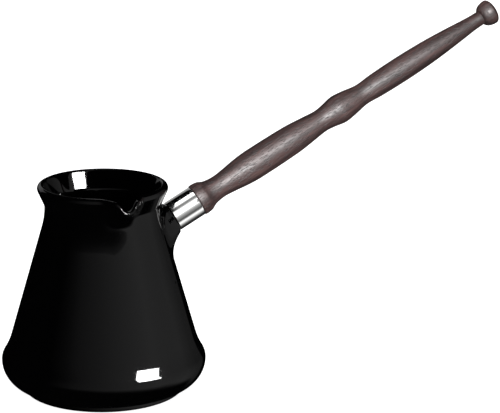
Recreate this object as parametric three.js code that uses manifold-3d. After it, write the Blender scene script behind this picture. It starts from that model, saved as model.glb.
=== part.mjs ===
// Turkish coffee pot (cezve): a glazed ceramic pot with a pinched pouring lip and a turned wooden
// handle, which screws into a threaded bush in the boss on the pot's neck.
// Millimetres, +Z up. The origin is the centre of the base, on the surface that the pot stands on.
// The handle points along +X and upwards, and the pouring lip points along -Y, turned a little towards
// the handle.
import * as THREE from "three";
import { mergeVertices } from "three/addons/utils/BufferGeometryUtils.js";
import Module from "manifold-3d";

const wasm = await Module();
wasm.setup();

const DEG = Math.PI / 180;

// ---- Driving dimensions of the pot ----
const footRadius = 47;
const footEdgeRound = 0.8;
const footHeight = 3; // where the belly starts to swell out of the foot
const bellyRadius = 60;
const bellyHeight = 18; // height of the widest line
const shoulderRound = 8; // radius of the wall just above the widest line
const shoulderAngle = 32 * DEG;
const coneAngle = 16 * DEG; // the long straight wall leans in by this much
const neckRadius = 33.8;
const neckHeight = 110; // height of the narrowest line
const neckLowerRound = 44;
const neckUpperRound = 4.5;
const rimRadius = 37.9;
const rimHeight = 123.4;
const rimRound = 2.6;
const rimInnerRound = 1.2;
const wall = 4.4;
const cutBeyond = 6; // cutting solids stand out this far past the faces they open
const floorThickness = 5.5;
const floorRadius = 40; // flat part of the inside floor
const floorCornerSet = 3; // the floor's flat runs this far short of the belly above it
const floorCornerAngle = -60 * DEG; // where the rounded floor corner meets the inner belly

// ---- Driving dimensions of the pouring lip ----
const spoutTurn = 2 * DEG; // from -Y towards the handle
const spoutReach = 8.5; // how far the lip stands out past the round rim
const spoutWidth = 9; // half width of the lip where it leaves the rim, along the rim
const spoutSharpness = 3; // higher makes the lip's flanks steeper
const spoutDip = 5.2; // how far the pouring channel dips below the rim
const dipWidth = 3.7; // half width of the pouring channel
const dipSharpness = 3;
const spoutFade = 20; // height over which the lip fades into the wall below
const swellReach = 1.5; // a gentler swelling under the lip, which reaches further down
const swellWidth = 8; // half width of the swelling, along the rim
const swellSharpness = 2;
const swellFade = 32; // height over which the swelling fades into the wall below

// ---- Driving dimensions of the handle's axis, measured outwards from the pot's own axis ----
const handleTilt = 28.9 * DEG;
const handleAxisHeight = 76.6; // where the two axes cross
const fitGap = 0.3; // clearance between neighbouring pieces
const bossFace = 48;
const bossRadius = 9.5;
const bossEdgeRound = 1;
const bossEdgeSwing = 0.8; // where the edge round's control point lies, as a share of the round
const bossEdgeLean = 0.6; // and how far it leans in with the flare, in mm of the flare's run
const bossFaceRound = 1.6; // how far the face's flat part stops short of the boss's side
const bossFlare = 1.1; // the underside stands out this much further than the top
const bossFlareSlope = 0.5; // and widens towards the wall by this much per millimetre
const filletBelow = 12.1;
const filletAbove = 3.5;
const bossRoot = 30;
const wallSearchBeyond = 12; // the wall under the boss reaches this far past the boss's face
const boreFloor = 40.5;
const boreRadius = 6.3;
const washerThickness = 1.2;
const washerRadius = 7.1;
const bushRadius = 4.6;
const cementThickness = 1.1;
const studRadius = 2.8; // M6, 1 mm pitch
const studTip = 41.1;
const studTail = 72;
const studChamfer = 0.6;
const ferruleRadius = 9.35;
const ferruleWall = 0.8;
const ferruleEndWall = 1;
const ferruleEnd = 65.5;
const nutAcrossFlats = 10;
const nutThickness = 3;
const lockWasherThickness = 1;
const lockWasherRadius = 6.4;
const insertRadius = 5;
const insertEnd = 68.5;

// ---- Turned outline of the handle: distance from the collar's face, and radius ----
const collarFace = ferruleEnd + fitGap;
const collarBowRadius = 10.1; // of the bow's control point, just behind the face
const collarFaceRadius = 9.6;
const collarBow = 1.2; // from the face to the bow's control point
const collarLength = 5.4;
const collarEdgeRadius = 9.35;
const handleOutline = [
  [6.0, 9.05],
  [9.2, 7.62],
  [15.2, 6.9],
  [22, 7.48],
  [30, 8.53],
  [38, 9.2],
  [46, 9.26],
  [54, 9.2],
  [68, 8.85],
  [79, 7.82],
  [88, 6.94],
  [94, 7.57],
  [101, 8.8],
  [108, 8.2],
  [118, 6.65],
  [128, 7.2],
  [139, 7.5],
  [152, 7.52],
  [168, 7.02],
  [184, 5.87],
  [198, 4.6],
  [204.5, 4.35],
];
const knobNeck = 4.3;
const knobStart = 205.8;
const knobRimStart = 211.6;
const knobRadius = 7.75;
const knobBackBow = 0.8; // how flat the knob's back is, measured along the axis
const knobBackRadius = 7.15; // of the bow's control point on the knob's back
const knobRimRound = 1.4;
const knobFaceBow = 0.6; // how flat the knob's domed face is
const knobFaceRadius = 7.35;
const handleLength = 216.2;

// ---- Mesh fineness ----
const sideStep = 7.5; // degrees round the pot
const spoutStep = 2.5; // degrees round the pot at the pouring lip
const spoutSpan = 30; // degrees to each side that have the finer step
const bossSides = 32;
const wallSearchSteps = 30; // halvings in the search for the wall
const handleSides = 24;
const smallSides = 24;
const ferruleSides = 40;
const washerSides = 36;

// ---- Materials ----
function material(color, roughness, metalness) {
  return new THREE.MeshStandardMaterial({ color, roughness, metalness });
}
const blackGlaze = material(0x0b0b0c, 0.08, 0);
const cementGrey = material(0x9a958c, 0.9, 0);
const brass = material(0xb08d4a, 0.35, 1);
const zincSteel = material(0xa9abab, 0.4, 1);
const polishedSteel = material(0xd8d8d6, 0.12, 1);
const redFibre = material(0x6e2a22, 0.8, 0);
const darkWood = material(0x4a3531, 0.5, 0);

// ---- Helpers ----
const point = (x, y) => new THREE.Vector2(x, y);

// Points along an arc about (x, y), both ends included.
function arc(x, y, radius, from, to, steps) {
  return Array.from({ length: steps + 1 }, (_, i) => {
    const angle = from + ((to - from) * i) / steps;
    return point(x + radius * Math.cos(angle), y + radius * Math.sin(angle));
  });
}

// A solid of revolution about +Z from a profile of (radius, height) points.
function turned(profile, sides) {
  return new THREE.LatheGeometry(profile, sides).rotateX(Math.PI / 2);
}

// A solid of revolution about +Z whose sides lie at the given angles, from -Y towards +X.
function turnedAt(profile, angles) {
  const geometry = turned(profile, angles.length);
  const places = geometry.attributes.position;
  for (let i = 0; i < places.count; i += 1) {
    const angle = angles[Math.floor(i / profile.length) % angles.length];
    const radius = Math.hypot(places.getX(i), places.getY(i));
    places.setXY(i, radius * Math.sin(angle), -radius * Math.cos(angle));
  }
  return geometry;
}

// A ring of rectangular section about +Z.
function ring(inner, outer, bottom, top, sides) {
  const corners = [point(inner, bottom), point(outer, bottom), point(outer, top), point(inner, top)];
  return turned([...corners, corners[0]], sides);
}

function toSolid(geometry) {
  const bare = geometry.clone();
  bare.deleteAttribute("normal");
  bare.deleteAttribute("uv");
  const merged = mergeVertices(bare, 1e-4);
  const vertProperties = merged.attributes.position.array;
  const triVerts = merged.index.array;
  return new wasm.Manifold(new wasm.Mesh({ numProp: 3, vertProperties, triVerts }));
}

function toGeometry(solid) {
  const mesh = solid.getMesh();
  const geometry = new THREE.BufferGeometry();
  geometry.setAttribute("position", new THREE.BufferAttribute(mesh.vertProperties, 3));
  geometry.setIndex(new THREE.BufferAttribute(mesh.triVerts, 1));
  geometry.computeVertexNormals();
  return geometry;
}

function named(name, geometry, surface) {
  const mesh = new THREE.Mesh(geometry, surface);
  mesh.name = name;
  return mesh;
}

// ---- The pot ----
// Rim centre, and the angle of the flare that runs tangent from the neck to the rim's round.
const rimCentre = point(rimRadius - rimRound, rimHeight - rimRound);
const neckCentre = point(neckRadius + neckUpperRound, neckHeight);
const neckToRim = rimCentre.clone().sub(neckCentre);
const flareAngle =
  Math.atan2(neckToRim.y, -neckToRim.x) - Math.acos((neckUpperRound + rimRound) / neckToRim.length());

// The radius of the lower belly, which passes through the foot and the widest line.
const bellyOut = bellyRadius - footRadius;
const bellyUp = bellyHeight - footHeight;
const bellyRound = (bellyOut ** 2 + bellyUp ** 2) / (2 * bellyOut);

// The wall as a chain of tangent arcs from the foot to the flare, moved inwards by inset.
function wallContour(inset, startAngle) {
  const shoulderCentre = point(bellyRadius - shoulderRound, bellyHeight);
  const shoulderNormal = point(Math.cos(shoulderAngle), Math.sin(shoulderAngle));
  const shoulderEnd = shoulderCentre.clone().addScaledVector(shoulderNormal, shoulderRound);
  const coneNormal = point(Math.cos(coneAngle), Math.sin(coneAngle));
  const lowerNeckCentre = point(neckRadius + neckLowerRound, neckHeight);
  const coneEnd = lowerNeckCentre.clone().addScaledVector(coneNormal, -neckLowerRound);
  const waistRound =
    coneEnd.clone().sub(shoulderEnd).dot(coneNormal) / (shoulderNormal.dot(coneNormal) - 1);
  const waistCentre = shoulderEnd.clone().addScaledVector(shoulderNormal, waistRound);
  const { x: sx, y: sy } = shoulderCentre;
  const { x: wx, y: wy } = waistCentre;
  const { x: nx, y: ny } = lowerNeckCentre;
  const { x: fx, y: fy } = neckCentre;
  const half = Math.PI;
  return [
    ...arc(bellyRadius - bellyRound, bellyHeight, bellyRound - inset, startAngle, 0, 7),
    ...arc(sx, sy, shoulderRound - inset, 0, shoulderAngle, 3).slice(1),
    ...arc(wx, wy, waistRound + inset, shoulderAngle - half, coneAngle - half, 4),
    ...arc(nx, ny, neckLowerRound + inset, coneAngle + half, half, 4),
    ...arc(fx, fy, neckUpperRound + inset, half, half - flareAngle, 4).slice(1),
  ];
}

const footStart = Math.atan2(-bellyUp, bellyRound - bellyOut);
const outerContour = [
  point(0, 0),
  ...arc(footRadius - footEdgeRound, footEdgeRound, footEdgeRound, -90 * DEG, 0, 3),
  ...wallContour(0, footStart),
  ...arc(rimCentre.x, rimCentre.y, rimRound, -flareAngle, 90 * DEG, 6),
];

// The inner edge of the rim: the flare's inner line, rounded into the crest.
const flareAcross = point(-Math.cos(flareAngle), Math.sin(flareAngle));
const flareAlong = point(Math.sin(flareAngle), Math.cos(flareAngle));
const innerFlareAtRim = rimCentre.clone().addScaledVector(flareAcross, wall - rimRound);
const innerCrest = innerFlareAtRim.clone().addScaledVector(flareAlong, rimRound / flareAlong.y);
innerCrest.addScaledVector(flareAlong, (rimHeight - innerCrest.y) / flareAlong.y);
const innerEdge = new THREE.QuadraticBezierCurve(
  innerCrest.clone().addScaledVector(flareAlong, -rimInnerRound),
  innerCrest,
  point(rimCentre.x, rimHeight),
);
const innerBelly = wallContour(wall, floorCornerAngle);
const floorCorner = new THREE.QuadraticBezierCurve(
  point(floorRadius, floorThickness),
  point(innerBelly[0].x - floorCornerSet, floorThickness),
  innerBelly[0],
);
const mouthTop = rimHeight + cutBeyond;
const cavityContour = [
  point(0, floorThickness),
  ...floorCorner.getPoints(3),
  ...innerBelly.slice(1),
  ...innerEdge.getPoints(3),
  point(rimCentre.x, mouthTop),
  point(0, mouthTop),
];

// 1 in the middle of a bump, and 0 well past its width.
function bumpShare(distance, width, sharpness) {
  return Math.exp(-((Math.abs(distance) / width) ** sharpness));
}

// The pouring lip: the wall near -Y is pushed outwards, and its crest dips, most at the rim.
function shapeSpout(geometry) {
  const places = geometry.attributes.position;
  for (let i = 0; i < places.count; i += 1) {
    const [x, y, z] = [places.getX(i), places.getY(i), places.getZ(i)];
    const radius = Math.hypot(x, y);
    if (radius < 1) continue;
    const along = rimRadius * (Math.atan2(x, -y) - spoutTurn);
    const rise = THREE.MathUtils.smoothstep(z, rimHeight - spoutFade, rimHeight);
    const swellRise = THREE.MathUtils.smoothstep(z, rimHeight - swellFade, rimHeight);
    const swell = swellReach * bumpShare(along, swellWidth, swellSharpness) * swellRise;
    const push = spoutReach * bumpShare(along, spoutWidth, spoutSharpness) * rise + swell;
    const dip = spoutDip * bumpShare(along, dipWidth, dipSharpness) * rise ** 2;
    const stretch = 1 + push / radius;
    places.setXYZ(i, x * stretch, y * stretch, z - dip);
  }
  return geometry;
}

// Angles of the pot's sides, closer together at the pouring lip.
function potAngles() {
  const fine = (2 * spoutSpan) / spoutStep;
  const coarse = (360 - 2 * spoutSpan) / sideStep;
  return [
    ...Array.from({ length: fine }, (_, i) => (i * spoutStep - spoutSpan) * DEG),
    ...Array.from({ length: coarse }, (_, i) => (spoutSpan + i * sideStep) * DEG),
  ];
}

// ---- The handle's frame: +Z of this group runs outwards along the handle's axis ----
const handleGroup = new THREE.Group();
handleGroup.position.z = handleAxisHeight;
handleGroup.rotation.y = Math.PI / 2 - handleTilt;
handleGroup.updateMatrix();

// Radius of the pot's outer wall at a height.
function outerRadius(height) {
  const upper = outerContour.findIndex((place) => place.y > height);
  const [below, above] = [outerContour[upper - 1], outerContour[upper]];
  return THREE.MathUtils.mapLinear(height, below.y, above.y, below.x, above.x);
}

// Where the outer wall lies along the handle's axis, at a radius and an angle about that axis.
function wallAlongAxis(radius, angle) {
  const place = new THREE.Vector3();
  let [inside, outside] = [bossRoot, bossFace + wallSearchBeyond];
  for (let step = 0; step < wallSearchSteps; step += 1) {
    const middle = (inside + outside) / 2;
    place.set(radius * Math.cos(angle), radius * Math.sin(angle), middle).applyMatrix4(handleGroup.matrix);
    if (Math.hypot(place.x, place.y) < outerRadius(place.z)) inside = middle;
    else outside = middle;
  }
  return inside;
}

// Outline of the boss at one angle about its axis: it leaves the wall along the wall's own slope
// and sweeps up to the boss's side. Above, the boss is straight with a tight fillet under the rim.
// Below, it flares and has a wide fillet.
function bossOutline(angle) {
  const below = (1 + Math.cos(angle)) / 2;
  const radius = bossRadius + bossFlare * below;
  const slope = bossFlareSlope * below;
  const foot = radius + THREE.MathUtils.lerp(filletAbove, filletBelow, below);
  const place = wallAlongAxis(foot, angle);
  const wallSlope = wallAlongAxis(foot + 0.5, angle) - wallAlongAxis(foot - 0.5, angle);
  const edge = bossFace - bossEdgeRound;
  const back = (edge - place - wallSlope * (radius - foot)) / (1 + wallSlope * slope);
  const sweep = new THREE.QuadraticBezierCurve(
    point(foot, place),
    point(radius + slope * back, edge - back),
    point(radius, edge),
  );
  const rounded = new THREE.QuadraticBezierCurve(
    point(radius, edge),
    point(radius - slope * bossEdgeLean, edge + bossEdgeSwing * bossEdgeRound),
    point(radius - bossFaceRound, bossFace),
  );
  return [point(foot, place - wall / 2), ...sweep.getPoints(7), ...rounded.getPoints(3).slice(1)];
}

// A closed solid about +Z from one outline for each angle, capped at both ends.
function lofted(outlineAt, bottom, top, sides) {
  const rows = outlineAt(0).length;
  const places = [];
  const faces = [];
  for (let side = 0; side < sides; side += 1) {
    const angle = (2 * Math.PI * side) / sides;
    for (const { x, y } of outlineAt(angle)) places.push(x * Math.cos(angle), x * Math.sin(angle), y);
  }
  const [bottomCentre, topCentre] = [sides * rows, sides * rows + 1];
  places.push(0, 0, bottom, 0, 0, top);
  for (let side = 0; side < sides; side += 1) {
    const here = side * rows;
    const next = ((side + 1) % sides) * rows;
    for (let row = 0; row + 1 < rows; row += 1) {
      faces.push(here + row, next + row, next + row + 1, here + row, next + row + 1, here + row + 1);
    }
    faces.push(bottomCentre, next, here, topCentre, here + rows - 1, next + rows - 1);
  }
  const geometry = new THREE.BufferGeometry();
  geometry.setAttribute("position", new THREE.Float32BufferAttribute(places, 3));
  return geometry.setIndex(faces);
}

function bossSolid() {
  return toSolid(lofted(bossOutline, bossRoot, bossFace, bossSides).applyMatrix4(handleGroup.matrix));
}

// The stepped hole in the boss's face.
function bossHole() {
  const counterboreFloor = bossFace - washerThickness - fitGap;
  const outside = bossFace + cutBeyond;
  const outline = [
    point(0, boreFloor),
    point(boreRadius, boreFloor),
    point(boreRadius, counterboreFloor),
    point(washerRadius + fitGap, counterboreFloor),
    point(washerRadius + fitGap, outside),
    point(0, outside),
  ];
  return toSolid(turned(outline, smallSides).applyMatrix4(handleGroup.matrix));
}

function potBody() {
  const angles = potAngles();
  const outside = toSolid(shapeSpout(turnedAt([...outerContour, point(0, rimHeight)], angles)));
  const cavity = toSolid(shapeSpout(turnedAt(cavityContour, angles)));
  return outside.add(bossSolid()).subtract(cavity).subtract(bossHole());
}

// ---- Pieces along the handle's axis ----
const bushMouth = bossFace - washerThickness - fitGap;
const bushBottom = boreFloor + fitGap;
const studHole = studRadius + fitGap;

function tieStud() {
  return turned(
    [
      point(0, studTip),
      point(studRadius - studChamfer, studTip),
      point(studRadius, studTip + studChamfer),
      point(studRadius, studTail),
      point(0, studTail),
    ],
    smallSides,
  );
}

const ferruleStart = bossFace + fitGap;
const ferruleBore = ferruleRadius - ferruleWall;

function ferrule() {
  const insideEnd = ferruleStart + ferruleEndWall;
  const outline = [
    point(studHole, ferruleStart),
    point(ferruleRadius, ferruleStart),
    point(ferruleRadius, ferruleEnd),
    point(ferruleBore, ferruleEnd),
    point(ferruleBore, insideEnd),
    point(studHole, insideEnd),
  ];
  return turned([...outline, outline[0]], ferruleSides);
}

const nutStart = ferruleStart + ferruleEndWall + fitGap;
const lockWasherStart = nutStart + nutThickness + fitGap;
const tenonFace = lockWasherStart + lockWasherThickness + fitGap;

function lockNut() {
  const cornerRadius = nutAcrossFlats / 2 / Math.cos(30 * DEG);
  const hexagon = new THREE.Shape(arc(0, 0, cornerRadius, 0, 300 * DEG, 5));
  hexagon.holes.push(new THREE.Path(arc(0, 0, studHole, 0, (360 - 15) * DEG, 23).reverse()));
  const nut = new THREE.ExtrudeGeometry(hexagon, { depth: nutThickness, bevelEnabled: false });
  return nut.translate(0, 0, nutStart);
}

// The wooden handle: tenon, collar, turned grip and knob, bored for the insert and the stud.
function handle() {
  const along = (distance) => collarFace + distance;
  const grip = new THREE.SplineCurve(handleOutline.map(([d, radius]) => point(radius, along(d))));
  const knobEnd = along(handleLength);
  const collar = new THREE.QuadraticBezierCurve(
    point(collarFaceRadius, along(0)),
    point(collarBowRadius, along(collarBow)),
    point(collarEdgeRadius, along(collarLength)),
  );
  const knobBack = new THREE.QuadraticBezierCurve(
    point(knobNeck, along(knobStart)),
    point(knobBackRadius, along(knobStart + knobBackBow)),
    point(knobRadius, along(knobRimStart)),
  );
  const knobFront = new THREE.QuadraticBezierCurve(
    point(knobRadius, along(knobRimStart + knobRimRound)),
    point(knobFaceRadius, knobEnd - knobFaceBow),
    point(0, knobEnd),
  );
  const tenonRadius = ferruleBore - fitGap;
  return turned(
    [
      point(0, studTail + fitGap),
      point(studHole, studTail + fitGap),
      point(studHole, insertEnd + fitGap),
      point(insertRadius + fitGap, insertEnd + fitGap),
      point(insertRadius + fitGap, tenonFace),
      point(tenonRadius, tenonFace),
      point(tenonRadius, collarFace),
      ...collar.getPoints(5),
      ...grip.getPoints(42),
      ...knobBack.getPoints(5),
      ...knobFront.getPoints(6),
    ],
    handleSides,
  );
}

// ---- Assembly ----
const cementOuter = bushRadius + fitGap + cementThickness;
handleGroup.add(
  named("bush_cement", ring(bushRadius + fitGap, cementOuter, bushBottom, bushMouth, smallSides), cementGrey),
  named("socket_bush", ring(studHole, bushRadius, bushBottom, bushMouth, smallSides), brass),
  named(
    "heat_washer",
    ring(studHole, washerRadius, bossFace - washerThickness, bossFace, washerSides),
    redFibre,
  ),
  named("ferrule", ferrule(), polishedSteel),
  named("tie_stud", tieStud(), zincSteel),
  named("lock_nut", lockNut(), zincSteel),
  named(
    "lock_washer",
    ring(studHole, lockWasherRadius, lockWasherStart, lockWasherStart + lockWasherThickness, smallSides),
    zincSteel,
  ),
  named("handle_insert", ring(studHole, insertRadius, tenonFace, insertEnd, smallSides), brass),
  named("handle", handle(), darkWood),
);

const cezve = new THREE.Group();
cezve.add(named("pot_body", toGeometry(potBody()), blackGlaze), handleGroup);

export default cezve;
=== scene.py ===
"""Looks of a Turkish coffee pot (cezve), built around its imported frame.

Shapes are worked out in millimetres and written to the meshes in metres. The pot's axis is +Z, the
handle points along +X and upwards, and the pouring lip points 2 degrees off -Y towards the handle,
as in the frame. Angles in the light's part are in degrees, with the azimuth counted from +X.
"""

from math import acos, atan2, cos, exp, floor, hypot, pi, radians, sin, tan

import bmesh
import bpy
from mathutils import Matrix, Vector
from mathutils.geometry import delaunay_2d_cdt

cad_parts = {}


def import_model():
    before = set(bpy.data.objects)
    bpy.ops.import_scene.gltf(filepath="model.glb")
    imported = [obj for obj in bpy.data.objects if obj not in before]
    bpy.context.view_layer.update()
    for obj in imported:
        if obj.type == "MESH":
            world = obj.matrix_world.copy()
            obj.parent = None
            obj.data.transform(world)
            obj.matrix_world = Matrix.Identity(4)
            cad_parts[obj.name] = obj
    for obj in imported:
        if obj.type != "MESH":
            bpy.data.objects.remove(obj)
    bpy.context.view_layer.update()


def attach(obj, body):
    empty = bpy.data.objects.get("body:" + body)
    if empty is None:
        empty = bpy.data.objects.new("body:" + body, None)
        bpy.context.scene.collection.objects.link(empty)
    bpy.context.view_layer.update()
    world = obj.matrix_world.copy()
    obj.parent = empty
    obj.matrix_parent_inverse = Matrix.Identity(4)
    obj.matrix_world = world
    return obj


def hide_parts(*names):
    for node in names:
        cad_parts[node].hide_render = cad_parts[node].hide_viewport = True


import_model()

MM = 0.001

# ---------------------------------------------------------------- driving dimensions, as in the CAD
FOOT_RADIUS = 47.0
FOOT_EDGE_ROUND = 0.8
FOOT_HEIGHT = 3.0
BELLY_RADIUS = 60.0
BELLY_HEIGHT = 18.0
SHOULDER_ROUND = 8.0
SHOULDER_ANGLE = radians(32)
CONE_ANGLE = radians(16)
NECK_RADIUS = 33.8
NECK_HEIGHT = 110.0
NECK_LOWER_ROUND = 44.0
NECK_UPPER_ROUND = 4.5
RIM_RADIUS = 37.9
RIM_HEIGHT = 123.4
RIM_ROUND = 2.6
RIM_INNER_ROUND = 1.2
WALL = 4.4
FLOOR_THICKNESS = 5.5
FLOOR_RADIUS = 40.0
FLOOR_CORNER_ANGLE = radians(-60)
FLOOR_CORNER_SET = 3.0  # how far the corner's control point lies inside the belly's lowest point

SPOUT_TURN = radians(2)
SPOUT_REACH = 8.5
SPOUT_WIDTH = 9.0
SPOUT_SHARPNESS = 3.0
SPOUT_DIP = 5.2
DIP_WIDTH = 3.7
DIP_SHARPNESS = 3.0
SPOUT_FADE = 20.0
# The wall swells gently under the lip, further down than the lip itself reaches.
SWELL_REACH = 1.5
SWELL_WIDTH = 8.0
SWELL_SHARPNESS = 2.0
SWELL_FADE = 32.0

HANDLE_TILT = radians(28.9)
HANDLE_AXIS_HEIGHT = 76.6
FIT_GAP = 0.3
BOSS_FACE = 48.0
BOSS_RADIUS = 9.5
BOSS_EDGE_ROUND = 1.0
BOSS_EDGE_SWING = 0.8  # where the edge round's control point lies, as a share of the round
BOSS_EDGE_LEAN = 0.6  # and how far it leans in with the flare
BOSS_FACE_ROUND = 1.6  # how far the face's flat part stops short of the boss's side
BOSS_FLARE = 1.1
BOSS_FLARE_SLOPE = 0.5
FILLET_BELOW = 12.1  # how far the fillet reaches out along the wall below the boss
FILLET_ABOVE = 3.5
BOSS_ROOT = 30.0  # inside the wall, where the search for the wall along the axis starts
WALL_SEARCH_BEYOND = 12.0  # the search ends this far past the boss's face
WALL_SEARCH_STEPS = 40  # halvings in the search
BORE_FLOOR = 40.5
BORE_RADIUS = 6.3
BORE_EDGE_ROUND = 0.2
WASHER_THICKNESS = 1.2
WASHER_RADIUS = 7.1
BUSH_RADIUS = 4.6
CEMENT_THICKNESS = 1.1
STUD_RADIUS = 2.8
STUD_TIP = 41.1
STUD_TAIL = 72.0
THREAD_PITCH = 1.0
THREAD_ROWS = 10  # rows of verts in each turn
THREAD_FLANK_SLOPE = 2.6
THREAD_ROOT_FLAT = 0.15
THREAD_ROOT = 2.4
THREAD_CREST = 2.75
THREAD_CLEARANCE = 0.12
FERRULE_RADIUS = 9.35
FERRULE_WALL = 0.8
FERRULE_END_WALL = 1.0
FERRULE_END = 65.5
NUT_ACROSS_FLATS = 10.0
NUT_THICKNESS = 3.0
LOCK_WASHER_THICKNESS = 1.0
LOCK_WASHER_RADIUS = 6.4
INSERT_RADIUS = 5.0
INSERT_END = 68.5

COLLAR_FACE_RADIUS = 9.6
COLLAR_BOW_RADIUS = 10.1  # of the bow's control point, just behind the face
COLLAR_BOW = 1.2  # from the face to the bow's control point
COLLAR_LENGTH = 5.4
COLLAR_EDGE_RADIUS = 9.35
COLLAR_EDGE_BREAK = 0.2
# The grip's outline: distance from the collar's face, and radius.
HANDLE_OUTLINE = [
    (6.0, 9.05),
    (9.2, 7.62),
    (15.2, 6.9),
    (22, 7.48),
    (30, 8.53),
    (38, 9.2),
    (46, 9.26),
    (54, 9.2),
    (68, 8.85),
    (79, 7.82),
    (88, 6.94),
    (94, 7.57),
    (101, 8.8),
    (108, 8.2),
    (118, 6.65),
    (128, 7.2),
    (139, 7.5),
    (152, 7.52),
    (168, 7.02),
    (184, 5.87),
    (198, 4.6),
    (204.5, 4.35),
]
KNOB_NECK = 4.3
KNOB_START = 205.8
KNOB_RIM_START = 211.6
KNOB_RADIUS = 7.75
KNOB_BACK_BOW = 0.8  # how flat the knob's back is, measured along the axis
KNOB_BACK_RADIUS = 7.15  # of the bow's control point on the knob's back
KNOB_RIM_ROUND = 1.4
KNOB_FACE_BOW = 0.6  # how flat the knob's domed face is
KNOB_FACE_RADIUS = 7.35
HANDLE_LENGTH = 216.2

# ---------------------------------------------------------------- mesh fineness
SIDE_STEP = radians(1.5)
SPOUT_STEP = radians(0.6)  # the finer sides round the pouring lip
SPOUT_SPAN = radians(30)  # to each side of it
ROW_SPACING = 1.3
BOSS_SIDES = 96
HANDLE_SIDES = 96
HANDLE_ROW_SPACING = 1.2
FERRULE_SIDES = 128
NUT_SIDES = 96
STUD_SIDES = 48
RING_SIDES = 72

HANDLE_FRAME = Matrix.Translation((0, 0, HANDLE_AXIS_HEIGHT)) @ Matrix.Rotation(
    pi / 2 - HANDLE_TILT, 4, "Y"
)


# ---------------------------------------------------------------- outline helpers
def arc(x, y, radius, start, end, steps):
    """Points along an arc about (x, y), both ends included."""
    angles = [start + (end - start) * i / steps for i in range(steps + 1)]
    return [(x + radius * cos(a), y + radius * sin(a)) for a in angles]


def bezier(a, b, c, steps):
    """Points along a quadratic curve from a to c that heads for b."""
    points = []
    for i in range(steps + 1):
        t = i / steps
        points.append(
            tuple((1 - t) ** 2 * p + 2 * t * (1 - t) * q + t**2 * r for p, q, r in zip(a, b, c))
        )
    return points


def between(a, b, c, d, t):
    """The value at t from 0 to 1 between b and c, of a smooth curve through a, b, c and d."""
    bend = 1.5 * (b - c) + (d - a) / 2
    return b + t * ((c - a) / 2 + t * (a - 2.5 * b + 2 * c - d / 2 + t * bend))


def spline(stations, per_span):
    """A smooth curve through the stations, with per_span points for each stretch between two."""
    ends = [stations[0], *stations, stations[-1]]
    points = []
    for i in range(len(stations) - 1):
        for k in range(per_span):
            points.append(tuple(between(*four, k / per_span) for four in zip(*ends[i : i + 4])))
    return [*points, tuple(stations[-1])]


def spaced(points, spacing):
    """The same outline with points added where two lie further apart than spacing."""
    out = [points[0]]
    for (x0, y0), (x1, y1) in zip(points, points[1:]):
        steps = max(1, round(hypot(x1 - x0, y1 - y0) / spacing))
        out += [(x0 + (x1 - x0) * i / steps, y0 + (y1 - y0) * i / steps) for i in range(1, steps + 1)]
    return out


def smoothstep(x, low, high):
    """0 up to low and 1 from high on, with a smooth rise between them."""
    t = min(1.0, max(0.0, (x - low) / (high - low)))
    return t * t * (3 - 2 * t)


# ---------------------------------------------------------------- mesh helpers
ON_AXIS = 1e-6  # a smaller radius than this counts as a point on the axis
SHARP_EDGE = 35  # degrees between two faces that make the edge between them look sharp
EDGE_STEPS = 4


def new_object(name, mesh, body, slot, material, *nodes, sharp=SHARP_EDGE):
    """An object for a finished bmesh in millimetres, riding on its body."""
    bmesh.ops.transform(mesh, matrix=Matrix.Scale(MM, 4), verts=mesh.verts)
    mesh.normal_update()
    data = bpy.data.meshes.new(name)
    mesh.to_mesh(data)
    mesh.free()
    data.polygons.foreach_set("use_smooth", [True] * len(data.polygons))
    data.set_sharp_from_angle(angle=radians(sharp))
    data.materials.append(material)
    obj = bpy.data.objects.new(name, data)
    bpy.context.scene.collection.objects.link(obj)
    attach(obj, body)
    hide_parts(*nodes)
    return obj


def even(sides):
    """Angles of evenly spread sides."""
    return [2 * pi * i / sides for i in range(sides)]


def ring_rows(mesh, rows, angles):
    """Verts of a solid of revolution about +Z, one list for each (radius, height); a point on the axis
    makes a single vert."""
    out = []
    for radius, height in rows:
        if radius < ON_AXIS:
            out.append([mesh.verts.new((0, 0, height))])
        else:
            out.append([mesh.verts.new((radius * cos(a), radius * sin(a), height)) for a in angles])
    return out


def bridge(mesh, rings):
    """Faces between each ring of verts and the next, facing outwards when the outline runs
    anticlockwise, from the bottom up the outside."""
    for low, high in zip(rings, rings[1:]):
        count = max(len(low), len(high))
        for i in range(count):
            j = (i + 1) % count
            if len(low) == 1:
                corners = (low[0], high[j], high[i])
            elif len(high) == 1:
                corners = (low[i], low[j], high[0])
            else:
                corners = (low[i], low[j], high[j], high[i])
            mesh.faces.new(corners)


def turned(outline, sides):
    """A closed solid of revolution. The outline starts and ends on the axis, or closes on itself."""
    mesh = bmesh.new()
    rings = ring_rows(mesh, outline, even(sides))
    bridge(mesh, rings if outline[0][0] < ON_AXIS else [*rings, rings[0]])
    return mesh


def rounded_ring(inner, outer, bottom, top, edge):
    """Outline of a ring whose four edges are rounded, closed on itself."""
    return [
        *arc(outer - edge, bottom + edge, edge, -pi / 2, 0, EDGE_STEPS),
        *arc(outer - edge, top - edge, edge, 0, pi / 2, EDGE_STEPS),
        *arc(inner + edge, top - edge, edge, pi / 2, pi, EDGE_STEPS),
        *arc(inner + edge, bottom + edge, edge, pi, 3 * pi / 2, EDGE_STEPS),
    ]


def thread_height(angle, height):
    """0 at the root and 1 at the crest of a right-hand thread about +Z."""
    phase = height / THREAD_PITCH - angle / (2 * pi)
    from_root = abs(phase - floor(phase) - 0.5)
    return min(1.0, max(0.0, THREAD_FLANK_SLOPE * from_root - THREAD_ROOT_FLAT))


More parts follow.
